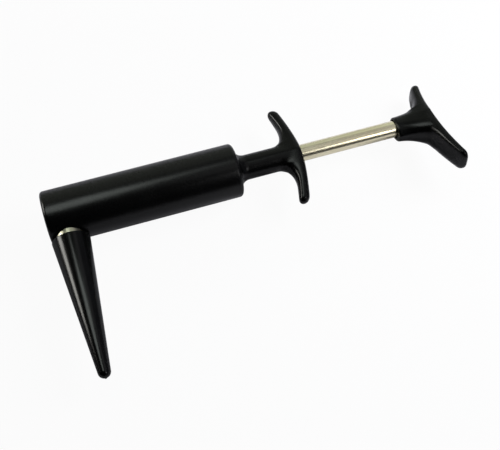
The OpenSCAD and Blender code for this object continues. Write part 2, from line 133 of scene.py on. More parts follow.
def add_node(tree: Tree, kind: str, inputs: Inputs, **settings: str) -> bpy.types.Node:
    """Adds a node, makes its settings, and links or sets its inputs.

    Args:
        tree: node tree to add to.
        kind: the node's type.
        inputs: socket to link or plain value for each input, by the input's name or number.
        settings: the node's own settings.

    Returns:
        The node.
    """
    node = tree.nodes.new(kind)
    for name, choice in settings.items():
        setattr(node, name, choice)
    for key, value in inputs.items():
        if isinstance(value, Socket):
            tree.links.new(value, node.inputs[key])
        else:
            node.inputs[key].default_value = value
    return node


def ranged(tree: Tree, value: Socket, reach: Span, ends: Span, **settings: str) -> Socket:
    """A stretch of a value, taken to two ends and held there."""
    inputs = dict(enumerate((value, *reach, *ends)))
    return add_node(tree, "ShaderNodeMapRange", inputs, **settings).outputs[0]


@dataclass(frozen=True)
class Finish:
    """A surface finish and the nodes that draw it.

    Attributes:
        slot: the record's slot that the finish belongs to.
        deep: darker tone.
        pale: paler tone.
        rough: roughness of the smoothest and the dullest spots.
        grain: way in which the grain is stretched.
        grain_mm: size of the grain.
        relief: height of the grain in millimetres.
        cloud_mm: size of the broad, faint patches of tone.
        metallic: 1 for bare metal.
        specular: strength of the clear gloss.
        edge: polish that handling leaves on the outer edges.
        NOISE_MIDDLE: stretch of a noise that is spread over a range.
        CLOUD_DETAIL, GRAIN_DETAIL: finer octaves of the patches and of the grain.
        EDGE_POINT: pointiness at which the polish starts and is full.
        EDGE_LIFT, EDGE_SMOOTH: its tone against pale, and its roughness against the smoothest spots.
    """

    NOISE_MIDDLE = (0.3, 0.7)
    CLOUD_DETAIL = 3.0
    GRAIN_DETAIL = 2.0
    EDGE_POINT = (0.505, 0.56)
    EDGE_LIFT = 2.5
    EDGE_SMOOTH = 0.6

    slot: Slot
    deep: Colour
    pale: Colour
    rough: Span
    grain: Grain = Grain.EVEN
    grain_mm: float = 0.5
    relief: float = 0.004
    cloud_mm: float = 22.0
    metallic: float = 0.0
    specular: float = 0.5
    edge: float = 0.0

    def material(self) -> bpy.types.Material:
        """Makes the material at the first call and hands the same one out later.

        Returns:
            The material of this finish.
        """
        name = f"{self.slot.value}_finish"
        made = bpy.data.materials.get(name)
        return made if made else self._draw(name)

    def _draw(self, name: str) -> bpy.types.Material:
        """Builds the node tree of the material.

        Args:
            name: name of the new material.

        Returns:
            The new material.
        """
        material = bpy.data.materials.new(name)
        material.use_nodes = True
        tree = material.node_tree
        shader = tree.nodes["Principled BSDF"]
        shader.inputs["Metallic"].default_value = self.metallic
        shader.inputs["Specular IOR Level"].default_value = self.specular
        place = add_node(tree, "ShaderNodeTexCoord", {}).outputs["Object"]
        cloud = self._noise(tree, place, self.cloud_mm, Grain.EVEN, self.CLOUD_DETAIL)
        grain = self._noise(tree, place, self.grain_mm, self.grain, self.GRAIN_DETAIL)
        patch = ranged(tree, cloud, self.NOISE_MIDDLE, (0.0, 1.0))
        tones = {0: patch, COLOUR_A: (*self.deep, 1), COLOUR_B: (*self.pale, 1)}
        colour = add_node(tree, "ShaderNodeMix", tones, data_type="RGBA").outputs[COLOUR_OUT]
        mean = add_node(tree, "ShaderNodeMix", {0: 0.5, VALUE_A: cloud, VALUE_B: grain}).outputs[0]
        rough = ranged(tree, mean, self.NOISE_MIDDLE, self.rough)
        if self.edge:
            colour, rough = self._polish(tree, colour, rough)
        relief = {"Strength": 1.0, "Distance": self.relief * MM, "Height": grain}
        bump = add_node(tree, "ShaderNodeBump", relief).outputs["Normal"]
        for key, value in (("Base Color", colour), ("Roughness", rough), ("Normal", bump)):
            tree.links.new(value, shader.inputs[key])
        return material

    def _noise(self, tree: Tree, place: Socket, size: float, grain: Grain, detail: float) -> Socket:
        """Adds a noise of a given size.

        Args:
            tree: node tree of the material.
            place: coordinates that the noise is read at.
            size: size of its patches in millimetres.
            grain: way in which it is stretched.
            detail: number of finer octaves.

        Returns:
            The noise's value.
        """
        turn = add_node(tree, "ShaderNodeMapping", {"Vector": place, "Scale": grain.value}).outputs[0]
        noise = {"Vector": turn, "Scale": 1 / (size * MM), "Detail": detail}
        return add_node(tree, "ShaderNodeTexNoise", noise).outputs[0]

    def _polish(self, tree: Tree, colour: Socket, rough: Socket) -> tuple[Socket, Socket]:
        """Lightens and smooths the outer edges, where hands rub them.

        Args:
            tree: node tree of the material.
            colour: colour of the untouched surface.
            rough: roughness of the untouched surface.

        Returns:
            Colour and roughness with the polished edges.
        """
        bulge = add_node(tree, "ShaderNodeNewGeometry", {}).outputs["Pointiness"]
        rub = ranged(tree, bulge, self.EDGE_POINT, (0.0, self.edge))
        pale = (*(self.EDGE_LIFT * part for part in self.pale), 1)
        lift = add_node(tree, "ShaderNodeMix", {0: rub, COLOUR_A: colour, COLOUR_B: pale}, data_type="RGBA")
        sleek = self.EDGE_SMOOTH * self.rough[0]
        smooth = add_node(tree, "ShaderNodeMix", {0: rub, VALUE_A: rough, VALUE_B: sleek})
        return lift.outputs[COLOUR_OUT], smooth.outputs[0]


SATIN_BLACK = Finish(
    Slot.CASING, (0.0010, 0.0011, 0.0011), (0.0016, 0.0017, 0.0017), (0.24, 0.31), grain_mm=0.35,
    relief=0.003, specular=0.28, edge=0.4,
)
GLOSS_BLACK = Finish(
    Slot.COVER, (0.0009, 0.0010, 0.0010), (0.0014, 0.0015, 0.0015), (0.17, 0.23), grain_mm=1.6, relief=0.001,
    cloud_mm=12, specular=0.28, edge=0.3,
)
MOULDED_BLACK = Finish(
    Slot.GRIP, (0.0010, 0.0011, 0.0011), (0.0016, 0.0017, 0.0017), (0.22, 0.30), grain_mm=0.45, relief=0.002,
    cloud_mm=15, specular=0.21, edge=0.3,
)
BRIGHT_ROD = Finish(
    Slot.ROD, (0.90, 0.82, 0.57), (0.96, 0.89, 0.65), (0.20, 0.28), Grain.DRAWN, 0.2, 0.0002, metallic=1.0,
)
PLATED = Finish(
    Slot.COLLAR, (0.50, 0.49, 0.36), (0.60, 0.58, 0.44), (0.24, 0.34), Grain.TURNED_NEEDLE, 0.2, 0.001,
    metallic=1.0,
)
GROUND_STEEL = Finish(
    Slot.NEEDLE, (0.56, 0.56, 0.57), (0.66, 0.66, 0.67), (0.16, 0.28), Grain.TURNED_NEEDLE, 0.12, 0.0008,
    metallic=1.0,
)
TURNED_METAL = Finish(
    Slot.BLOCK, (0.40, 0.40, 0.41), (0.50, 0.50, 0.51), (0.26, 0.38), Grain.TURNED, 0.2, 0.003, metallic=1.0,
)
TURNED_BRASS = Finish(
    Slot.BRASS, (0.66, 0.50, 0.22), (0.76, 0.60, 0.31), (0.20, 0.32), Grain.TURNED, 0.2, 0.003, metallic=1.0,
)
BRIGHT_STEEL = Finish(
    Slot.STEEL, (0.52, 0.52, 0.53), (0.62, 0.62, 0.63), (0.18, 0.28), Grain.TURNED, 0.15, 0.002, metallic=1.0,
)
DULL_RUBBER = Finish(
    Slot.RUBBER, (0.010, 0.010, 0.010), (0.016, 0.016, 0.016), (0.66, 0.82), grain_mm=0.3, relief=0.012,
    specular=0.3,
)
TURNED_PLASTIC = Finish(
    Slot.BUSH, (0.70, 0.66, 0.56), (0.78, 0.75, 0.66), (0.44, 0.56), Grain.TURNED, 0.2, 0.005, specular=0.4,
)


@dataclass(frozen=True)
class Formula:
    """A value in a node tree on which plain arithmetic is written."""

    tree: Tree
    socket: Socket

    def step(self, operation: str, *values: "Formula | float") -> "Formula":
        """Adds one Math node.

        Args:
            operation: the node's operation.
            values: numbers or formulas for its inputs.

        Returns:
            The node's value.
        """
        inputs = {i: value.socket if isinstance(value, Formula) else value for i, value in enumerate(values)}
        node = add_node(self.tree, "ShaderNodeMath", inputs, operation=operation)
        return Formula(self.tree, node.outputs[0])

    def __add__(self, other: "Formula | float") -> "Formula":
        """Sum."""
        return self.step("ADD", self, other)

    def __sub__(self, other: "Formula | float") -> "Formula":
        """Difference."""
        return self.step("SUBTRACT", self, other)

    def __rsub__(self, other: float) -> "Formula":
        """Difference from a number."""
        return self.step("SUBTRACT", other, self)

    def __mul__(self, other: "Formula | float") -> "Formula":
        """Product."""
        return self.step("MULTIPLY", self, other)

    def __truediv__(self, other: "Formula | float") -> "Formula":
        """Quotient."""
        return self.step("DIVIDE", self, other)

    def __rtruediv__(self, other: float) -> "Formula":
        """Number divided by this value."""
        return self.step("DIVIDE", other, self)

    def __pow__(self, other: "Formula | float") -> "Formula":
        """Power."""
        return self.step("POWER", self, other)

    def __abs__(self) -> "Formula":
        """Size without the sign."""
        return self.step("ABSOLUTE", self)

    def sine(self) -> "Formula":
        """Sine of an angle."""
        return self.step("SINE", self)

    def cosine(self) -> "Formula":
        """Cosine of an angle."""
        return self.step("COSINE", self)

    def at_least(self, low: float) -> "Formula":
        """Value held up to a lowest one."""
        return self.step("MAXIMUM", self, low)

    def within_one(self) -> "Formula":
        """Value held between 0 and 1."""
        return self.step("MINIMUM", self.at_least(0.0), 1.0)

    def arch(self) -> "Formula":
        """Height of the unit circle at a distance from its middle."""
        return self.step("SQRT", (1.0 - self * self).at_least(0.0))

    def bent(self, power: "Formula") -> "Formula":
        """Power of the size, with the sign kept."""
        return self.step("SIGN", self) * abs(self) ** power

    def between(self, low: "Formula", high: "Formula") -> "Formula":
        """Value from low to high as this one goes from 0 to 1."""
        return low + (high - low) * self


def evaluated(obj: bpy.types.Object, name: str) -> Mesh:
    """Turns a scratch object with its modifiers into a plain mesh and removes the object.

    Args:
        obj: object with live modifiers.
        name: name of the new mesh.

    Returns:
        The plain mesh.
    """
    bpy.context.view_layer.update()
    graph = bpy.context.evaluated_depsgraph_get()
    mesh = bpy.data.meshes.new_from_object(obj.evaluated_get(graph))
    mesh.name = name
    bpy.data.objects.remove(obj)
    return mesh


def placed(data: bpy.types.ID) -> bpy.types.Object:
    """Puts a mesh, a lamp or a camera into the scene.

    Args:
        data: what is put there.

    Returns:
        Its object, with the same name.
    """
    obj = bpy.data.objects.new(data.name, data)
    bpy.context.scene.collection.objects.link(obj)
    return obj


def closed(bm: bmesh.types.BMesh, name: str) -> Mesh:
    """Merges doubles, turns the faces outwards and makes a mesh.

    Args:
        bm: faces of a closed shell.
        name: name of the mesh.

    Returns:
        The mesh.
    """
    bmesh.ops.remove_doubles(bm, verts=bm.verts, dist=TOUCH)
    bmesh.ops.recalc_face_normals(bm, faces=bm.faces)
    mesh = bpy.data.meshes.new(name)
    bm.to_mesh(mesh)
    bm.free()
    return mesh


def cut(mesh: Mesh, tool: Mesh) -> Mesh:
    """Cuts one closed shell out of another.

    Args:
        mesh: shell that is cut.
        tool: shell of what is taken out.

    Returns:
        The cut mesh.
    """
    work, cutter = placed(mesh), placed(tool)
    modifier = work.modifiers.new("bore", "BOOLEAN")
    modifier.operation = "DIFFERENCE"
    modifier.solver = "EXACT"
    modifier.object = cutter
    result = evaluated(work, mesh.name)
    bpy.data.objects.remove(cutter)
    return result


def quarter(steps: int) -> list[float]:
    """Angles of a quarter turn in even steps."""
    return [math.pi / 2 * k / steps for k in range(steps + 1)]


def lip(start: float, radius: float, edge: float, steps: int) -> Outline:
    """Rounded edge from a flat end to the side round it."""
    return [(start + edge * (1 - math.cos(a)), radius - edge * (1 - math.sin(a))) for a in quarter(steps)]


def rounded(corners: list[tuple[float, float, float]], steps: int = 10) -> Outline:
    """Rounds the corners of a closed outline.

    Args:
        corners: place along the axis, radius and rounding of each corner.
        steps: steps of each rounding.

    Returns:
        Points of the rounded outline.
    """
    points: Outline = []
    for i, (along, radius, fillet) in enumerate(corners):
        here = Vector((along, radius))
        if not fillet:
            points.append((along, radius))
            continue
        back = (Vector(corners[i - 1][:2]) - here).normalized()
        ahead = (Vector(corners[(i + 1) % len(corners)][:2]) - here).normalized()
        half = back.angle(ahead) / 2
        centre = here + (back + ahead).normalized() * fillet / math.sin(half)
        start = here + back * fillet / math.tan(half) - centre
        end = here + ahead * fillet / math.tan(half) - centre
        for k in range(steps + 1):
            spoke = start.normalized().slerp(end.normalized(), k / steps) * fillet
            points.append((centre.x + spoke.x, centre.y + spoke.y))
    return points


@dataclass(frozen=True)
class Lathe:
    """Turns outlines about one of the opener's axes."""

    axis: Axis
    sides: int = 192

    def place(self, along: float, radius: float, turn: float) -> Vector:
        """Point at a place along the axis, a radius and a turn about it.

        Args:
            along: distance along the axis in millimetres.
            radius: distance from the axis in millimetres.
            turn: angle about the axis in radians.

        Returns:
            The point in metres.
        """
        across, up = radius * math.cos(turn), radius * math.sin(turn)
        if self.axis is Axis.PUMP:
            return Vector((along, across, up)) * MM
        return Vector((NEEDLE_X + across, -along, up)) * MM

    def turned(self, name: str, outline: Outline) -> Mesh:
        """Turns an outline into a closed shell.

        Args:
            name: name of the mesh.
            outline: points along the axis and out from it.

        Returns:
            The mesh.
        """
        bm = bmesh.new()
        rings = []
        for along, radius in outline:
            count = self.sides if radius > TOUCH else 1
            turns = [math.tau * i / count for i in range(count)]
            rings.append([bm.verts.new(self.place(along, radius, turn)) for turn in turns])
        for low, high in zip(rings, rings[1:] + rings[:1]):
            for i in range(self.sides):
                k = i + 1
                loop = (low[i % len(low)], low[k % len(low)], high[k % len(high)], high[i % len(high)])
                corners = list(dict.fromkeys(loop))
                if len(corners) > 2:
                    bm.faces.new(corners)
        return closed(bm, name)


def add_piece(
    name: str, mesh: Mesh, finish: Finish, body: Body, nodes: tuple[str, ...], crease: float = 35.0
) -> bpy.types.Object:
    """Adds a finished piece to the scene.

    Args:
        name: name of the piece.
        mesh: its mesh, in place.
        finish: its surface finish.
        body: the body that it rides on.
        nodes: the frame's nodes that it stands for.
        crease: angle in degrees past which an edge is drawn sharp.

    Returns:
        The piece.
    """
    mesh.materials.clear()
    mesh.materials.append(finish.material())
    mesh.shade_smooth()
    mesh.set_sharp_from_angle(angle=math.radians(crease))
    piece = placed(mesh)
    piece.name = name
    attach(piece, body.value)
    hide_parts(*nodes)
    log.info("piece %s: %d faces", name, len(mesh.polygons))
    return piece


def dress(finish: Finish, *nodes: str) -> None:
    """Gives nodes of the frame a finish.

    Args:
        finish: the surface finish.
        nodes: names of the nodes.
    """
    for name in nodes:
        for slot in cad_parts[name].material_slots:
            slot.material = finish.material()
        log.info("node %s: %s", name, finish.slot.value)


@dataclass(frozen=True)
class BarSizes:
    """Sizes of a moulded bar with two arms across the pump's axis, low towards -Y and high towards +Y.

    Attributes:
        face_x: place of the bar's outer face on the pump's axis.
        low_reach, high_reach: distance from the axis to each tip.
        low_sweep, high_sweep: distance that each tip stands along X from the face's middle.
        curve: power of the sweep.
        low_thickness, high_thickness: thickness of each arm at its tip.
        low_taper, high_taper: extra thickness that each arm gains on its way to the axis.
        low_flare, high_flare: extra thickness of each blend at its root.
        root: distance from the axis at which the blends are full.
        low_run, high_run: length of each blend along its arm.
        tip_extra: length of a tip's rounding past half of the thickness.
        middle_half_width: half of the width on the axis.
        low_half_width, high_half_width: half of the width at each tip.
        tip_width_share: share of that width left at the very tip.
        corner_power: squareness of the free arms' section.
        root_power: squareness of the section at the roots.
        roll: turn about the pump's axis in radians.
        stations, sides: points along the bar and round its section.
    """

    face_x: float
    low_reach: float
    high_reach: float
    low_sweep: float
    high_sweep: float
    curve: float
    low_thickness: float
    high_thickness: float
    low_taper: float
    high_taper: float
    low_flare: float
    high_flare: float
    root: float
    low_run: float
    high_run: float
    tip_extra: float
    middle_half_width: float
    low_half_width: float
    high_half_width: float
    tip_width_share: float
    corner_power: float
    root_power: float
    roll: float = 0.0
    stations: int = 181
    sides: int = 120


class ShapeTree:
    """Geometry Nodes tree that draws one kind of shape from named sizes."""

    def __init__(self, name: str, kinds: dict[str, str]) -> None:
        """Makes the tree with one named input for each size and one for the material.

        Args:
            name: name of the tree.
            kinds: type of each size's socket, by the size's name.
        """
        self.tree = bpy.data.node_groups.new(name, "GeometryNodeTree")
        self.inputs: dict[str, str] = {}
        sockets = self.tree.interface
        for size, kind in {**kinds, "material": "NodeSocketMaterial"}.items():
            title = size.replace("_", " ").capitalize()
            self.inputs[size] = sockets.new_socket(name=title, in_out="INPUT", socket_type=kind).identifier
        sockets.new_socket(name="Geometry", in_out="OUTPUT", socket_type="NodeSocketGeometry")
        self.entry = self.tree.nodes.new("NodeGroupInput")

    def socket(self, name: str) -> Socket:
        """The input's socket inside the tree."""
        return next(out for out in self.entry.outputs if out.identifier == self.inputs[name])

    def close(self, *steps: bpy.types.Node) -> None:
        """Links the steps in a row and ends the tree with Realize Instances and Set Material.

        Args:
            steps: nodes that the shape passes through, from first to last.
        """
        realize = add_node(self.tree, "GeometryNodeRealizeInstances", {})
        paint = add_node(self.tree, "GeometryNodeSetMaterial", {"Material": self.socket("material")})
        chain = (*steps, realize, paint, self.tree.nodes.new("NodeGroupOutput"))
        for first, second in zip(chain, chain[1:]):
            self.tree.links.new(first.outputs[0], second.inputs[0])

    def drawn(self, name: str, sizes: dict[str, float], finish: Finish) -> Mesh:
        """Draws one shape.

        Args:
            name: name of the mesh.
            sizes: value of each size by its name, lengths in metres.
            finish: its surface finish.

        Returns:
            The closed shell in metres.
        """
        obj = placed(bpy.data.meshes.new("draft"))
        modifier = obj.modifiers.new("shape", "NODES")
        modifier.node_group = self.tree
        for size, value in sizes.items():
            modifier[self.inputs[size]] = value
        modifier[self.inputs["material"]] = finish.material()
        bm = bmesh.new()
        bm.from_mesh(evaluated(obj, "draft"))
        return closed(bm, name)


class MouldedBar(ShapeTree):
    """Tree of a bar whose section, sweep and blends follow one rule."""

    PLAIN = ("curve", "tip_width_share", "corner_power", "root_power", "roll")

    def __init__(self) -> None:
        """Builds the tree with one named input for each size of a bar."""
        kinds = {int: "NodeSocketInt", float: "NodeSocketFloat"}
        super().__init__("moulded bar", {size.name: kinds[size.type] for size in fields(BarSizes)})
        self._wire()

    def _size(self, name: str) -> Formula:
        """The input as a formula."""
        return Formula(self.tree, self.socket(name))

    def _wire(self) -> None:
        """Draws a grid, bends it into the bar and closes it."""
        tree, size = self.tree, self._size
        grid = add_node(tree, "GeometryNodeMeshGrid", {
            "Size X": math.tau, "Vertices X": self.socket("sides"),
            "Size Y": 2.0, "Vertices Y": self.socket("stations"),
        })
        spot = add_node(tree, "GeometryNodeInputPosition", {}).outputs[0]
        parts = add_node(tree, "ShaderNodeSeparateXYZ", {0: spot})
        turn, station = Formula(tree, parts.outputs[0]), Formula(tree, parts.outputs[1])

        high = station.step("GREATER_THAN", station, 0.0)
        reach = high.between(size("low_reach"), size("high_reach"))
        place = reach * (station * (math.pi / 2)).sine()
        away = abs(place)
        across = ((place / size("root") + 1.0) * 0.5).within_one()
        half = across.between(size("low_thickness"), size("high_thickness")) * 0.5
        tip = half + size("tip_extra")
        share = ((away - reach + tip) / tip).at_least(0.0).arch()
        run = high.between(size("low_run"), size("high_run"))
        rise = 1.0 - (1.0 - ((away - size("root")) / run).within_one()).arch()
        taper = across.between(size("low_taper"), size("high_taper")) * (1.0 - away / reach)
        extra = taper + across.between(size("low_flare"), size("high_flare")) * rise
        sweep = high.between(size("low_sweep"), size("high_sweep"))
        face = size("face_x") + sweep * (away / reach) ** size("curve")
        tip_width = high.between(size("low_half_width"), size("high_half_width"))
        width = (away / reach).between(size("middle_half_width"), tip_width)
        width = width * (size("tip_width_share") + (1.0 - size("tip_width_share")) * share)
        back = turn.step("LESS_THAN", turn.cosine(), 0.0)
        power = 2.0 / (back * rise ** 0.5).between(size("corner_power"), size("root_power"))
        out, up = turn.cosine().bent(power), turn.sine().bent(power)
        x = face - half + (half + back * extra) * share * out
        z = width * up

        point = add_node(tree, "ShaderNodeCombineXYZ", {0: x.socket, 1: place.socket, 2: z.socket})
        bend = add_node(tree, "GeometryNodeSetPosition", {"Position": point.outputs[0]})
        merge = add_node(tree, "GeometryNodeMergeByDistance", {"Distance": TOUCH})
        tilt = add_node(tree, "ShaderNodeCombineXYZ", {0: self.socket("roll")})
        roll = add_node(tree, "GeometryNodeTransform", {"Rotation": tilt.outputs[0]})
        self.close(grid, bend, merge, roll)

    def shell(self, name: str, sizes: BarSizes, finish: Finish) -> Mesh:
        """Draws one bar.

        Args:
            name: name of the mesh.
            sizes: its sizes in millimetres.
            finish: its surface finish.

        Returns:
            The closed shell in metres.
        """
        values = {}
        for size in fields(sizes):
            is_length = size.type is float and size.name not in self.PLAIN
            values[size.name] = getattr(sizes, size.name) * (MM if is_length else 1)
        return self.drawn(name, values, finish)


@dataclass(frozen=True)
class Moulding:
    """Runs overlapping shells into one moulded shape, with fillets where they meet.

    Attributes:
        middle: point about which the hollows are filled, from the middle of the bar's face, in millimetres.
        inner: distance from it in millimetres within which they are filled in full.
        outer: distance past which the shells stay as they are.
        rounds: rounds in which the hollows are filled.
        even: passes that even out the whole skin.
        voxel: size of the skin's faces in millimetres.
        passes: smoothing passes that show where a hollow lies.
        softness: strength of a smoothing pass.
    """

    middle: Place
    inner: float
    outer: float
    rounds: int = 26
    even: int = 4
    voxel: float = 0.42
    passes: int = 60
    softness: float = 0.5

    def moulded(self, name: str, face_x: float, *shells: Mesh) -> Mesh:
        """Joins the shells and fills the hollows near a point, leaving every ridge as it stands.

        Args:
            name: name of the mesh.
            face_x: place of the bar's face along the pump in millimetres.
            shells: closed shells that overlap.

        Returns:
            One closed skin.
        """
        along, across, up = self.middle
        middle = np.array(Vector((face_x + along, across, up)) * MM)
        whole = bpy.data.meshes.new(name)
        bm = bmesh.new()
        for shell in shells:
            bm.from_mesh(shell)
        bm.to_mesh(whole)
        bm.free()
        work = placed(whole)
        remesh = work.modifiers.new("skin", "REMESH")
        remesh.mode = "VOXEL"
        remesh.voxel_size = self.voxel * MM
        skin = self._smoothed(evaluated(work, name), self.even)
        away = np.linalg.norm(self._read(skin, "co") - middle, axis=1) / MM
        weight = np.clip((self.outer - away) / (self.outer - self.inner), 0.0, 1.0)
        for _ in range(self.rounds):
            here, out = self._read(skin, "co"), self._read(skin, "normal")
            soft = self._read(self._smoothed(skin.copy(), self.passes), "co")
            fill = np.maximum(((soft - here) * out).sum(axis=1), 0.0) * weight
            skin.vertices.foreach_set("co", (here + out * fill[:, None]).ravel())
            skin.update()
        return self._smoothed(skin, self.even)

    def _read(self, mesh: Mesh, name: str) -> np.ndarray:
        """Reads a vector of each vertex.

        Args:
            mesh: mesh to read.
            name: co for the places or normal for the directions.

        Returns:
            One row for each vertex.
        """
        values = np.empty(3 * len(mesh.vertices), dtype=np.float32)
        mesh.vertices.foreach_get(name, values)
        return values.reshape(-1, 3)

    def _smoothed(self, mesh: Mesh, passes: int) -> Mesh:
        """Smooths a mesh.

        Args:
            mesh: mesh to smooth.
            passes: number of smoothing passes.

        Returns:
            The smoothed mesh, with its vertices in the same order.
        """
        work = placed(mesh)
        smooth = work.modifiers.new("smooth", "SMOOTH")
        smooth.factor = self.softness
        smooth.iterations = passes
        return evaluated(work, mesh.name)


@dataclass
class Casing:
    """Tube that shows, with the block that closes it and the pump inside it."""

    radius: float = 18.985
    bore: float = 16.0
    length: float = 134.5
    edge: float = 2.6
    bore_edge: float = 0.2
    hole_radius: float = 7.8
    hole_depth: float = 14.5
    hole_sides: int = 96

    def build(self) -> None:
        """Turns the tube, opens it for the collar and dresses what it holds."""
        tube = Lathe(Axis.PUMP).turned("casing_tube", rounded([
            (0, self.bore, self.bore_edge),
            (0, self.radius, self.edge),
            (self.length, self.radius, self.edge),
            (self.length, self.bore, self.bore_edge),
        ]))
        top = self.radius + CUT_SPARE
        hole = Lathe(Axis.NEEDLE, self.hole_sides).turned("collar_hole", [
            (self.hole_depth, 0), (self.hole_depth, self.hole_radius), (top, self.hole_radius), (top, 0),
        ])
        add_piece("casing_tube", cut(tube, hole), SATIN_BLACK, Body.PUMP, ("casing",))
        dress(SATIN_BLACK, "valve_block")
        dress(TURNED_BRASS, "barrel")
        dress(DULL_RUBBER, "front_seal", "rear_seal", "stop_ring")


@dataclass
class NeedleMount:
    """Collar, seals and the hollow needle."""

    def build(self) -> None:
        """Dresses the nodes of the needle's mount."""
        dress(PLATED, "needle_collar")
        dress(GROUND_STEEL, "needle")
        dress(DULL_RUBBER, "collar_gasket", "cover_ring")


@dataclass
class NeedleCover:
    """Moulded cone that guards the needle.

    The rim is measured from the pump's axis, and the other lengths from the rim. Each of nub_steps is a
    distance down from the nub's top and a share of its radius.
    """

    rim: float = 19.4
    length: float = 98.4
    bore: float = 11.0
    rim_radius: float = 12.9
    rim_edge: float = 0.6
    tip_radius: float = 4.25
    wall: float = 1.9
    seat: float = 9.2
    nub_radius: float = 0.7
    nub_height: float = 0.4
    nub_steps: tuple[Span, ...] = ((0.2, 1.0), (0.06, 0.8), (0.0, 0.45), (0.0, 0.0))
    rim_steps: int = 8
    tip_steps: int = 32

    def outline(self) -> Outline:
        """Outline of the cone's section.

        Returns:
            Points along the needle and out from it.
        """
        centre = self.length - self.tip_radius
        reach = math.hypot(self.rim_radius, centre)
        slope = math.acos(self.tip_radius / reach) - math.atan2(centre, self.rim_radius)
        wall = self.wall / math.cos(slope)

        def inside(along: float) -> float:
            """Radius of the inner cone at a distance from the rim."""
            return (self.tip_radius - (along - centre) * math.sin(slope)) / math.cos(slope) - wall

        rim = lip(0.0, self.rim_radius, self.rim_edge, self.rim_steps)
        last = math.acos(self.nub_radius / self.tip_radius)
        angles = (slope + (last - slope) * k / self.tip_steps for k in range(self.tip_steps + 1))
        tip = [(centre + self.tip_radius * math.sin(a), self.tip_radius * math.cos(a)) for a in angles]
        top = self.length + self.nub_height
        nub = [(top - drop, self.nub_radius * share) for drop, share in self.nub_steps]
        hollow = [
            (centre, 0), (centre, inside(centre)), (self.seat, inside(self.seat)), (self.seat, self.bore),
            (self.rim_edge, self.bore), (0.0, self.bore + self.rim_edge),
        ]
        return [(self.rim + along, radius) for along, radius in rim + tip + nub + hollow]

    def build(self) -> None:
        """Turns the cone."""
        cone = Lathe(Axis.NEEDLE).turned("needle_cone", self.outline())
        add_piece("needle_cone", cone, GLOSS_BLACK, Body.COVER, ("needle_cover",))


@dataclass
class GripCap:
    """Moulded cap: a plug in the casing, a neck and the swept finger flange."""

    bar: MouldedBar
    plug_start: float = 114.5
    plug_radius: float = 15.96
    plug_chamfer: float = 0.8
    casing_end: float = 134.5
    neck_radius: float = 8.79
    neck_fillet: float = 6.8
    socket_radius: float = 9.54
    socket_end: float = 122.5
    rod_room: float = 6.3
    bush_start: float = 140.5
    bush_radius: float = 7.24
    mouth_chamfer: float = 0.5
    fillet_steps: int = 12
    bore_sides: int = 128
    moulding: Moulding = Moulding((-14, -8, 8), 10, 22, even=14)
    flange: BarSizes = BarSizes(
        face_x=182.3, low_reach=38.5, high_reach=38.5, low_sweep=-6.8, high_sweep=-6.8, curve=1.6,
        low_thickness=7.8, high_thickness=7.8, low_taper=0.0, high_taper=0.0, low_flare=11.0, high_flare=11.0,
        root=8.49, low_run=17.0, high_run=17.0, tip_extra=0.5, middle_half_width=9.09, low_half_width=4.0,
        high_half_width=4.0, tip_width_share=0.0, corner_power=2.5, root_power=2.1,
    )

    def neck(self) -> Mesh:
        """Turns the plug and the neck.

        Returns:
            Their closed shell.
        """
        end = self.flange.face_x - self.flange.low_thickness
        wide = self.neck_radius + self.neck_fillet
        fillet = [
            (self.casing_end + self.neck_fillet * (1 - math.cos(a)), wide - self.neck_fillet * math.sin(a))
            for a in quarter(self.fillet_steps)
        ]
        return Lathe(Axis.PUMP).turned("neck", [
            (self.plug_start, 0),
            (self.plug_start, self.plug_radius - self.plug_chamfer),
            (self.plug_start + self.plug_chamfer, self.plug_radius),
            (self.casing_end, self.plug_radius),
            *fillet,
            (end, self.neck_radius),
            (end, 0),
        ])

    def bores(self) -> Mesh:
        """Turns the tool that opens the barrel's socket, the rod's way and the bush's seat.

        Returns:
            Its closed shell.
        """
        start, end = self.plug_start - CUT_SPARE, self.flange.face_x + CUT_SPARE
        mouth = self.flange.face_x - self.mouth_chamfer
        return Lathe(Axis.PUMP, self.bore_sides).turned("cap_bores", [
            (start, 0), (start, self.socket_radius), (self.socket_end, self.socket_radius),
            (self.socket_end, self.rod_room), (self.bush_start, self.rod_room),
            (self.bush_start, self.bush_radius), (mouth, self.bush_radius),
            (end, self.bush_radius + end - mouth), (end, 0),
        ])

    def build(self) -> None:
        """Moulds the cap and dresses the bush and the wiper in it."""
        arms = self.bar.shell("finger_flange", self.flange, MOULDED_BLACK)
        skin = self.moulding.moulded("grip_cap", self.flange.face_x, arms, self.neck())
        add_piece("grip_moulding", cut(skin, self.bores()), MOULDED_BLACK, Body.PUMP, ("grip_cap",))
        dress(TURNED_PLASTIC, "rod_bush")
        dress(DULL_RUBBER, "rod_wiper")


@dataclass
class Plunger:
    """Rod, plugs and the piston's parts."""

    def build(self) -> None:
        """Dresses the nodes of the plunger."""
        dress(BRIGHT_ROD, "piston_rod")
        dress(TURNED_BRASS, "rod_plug")
        dress(BRIGHT_STEEL, "handle_stud", "piston_screw", "cup_washer")
        dress(TURNED_METAL, "piston_head")
        dress(DULL_RUBBER, "piston_cup")


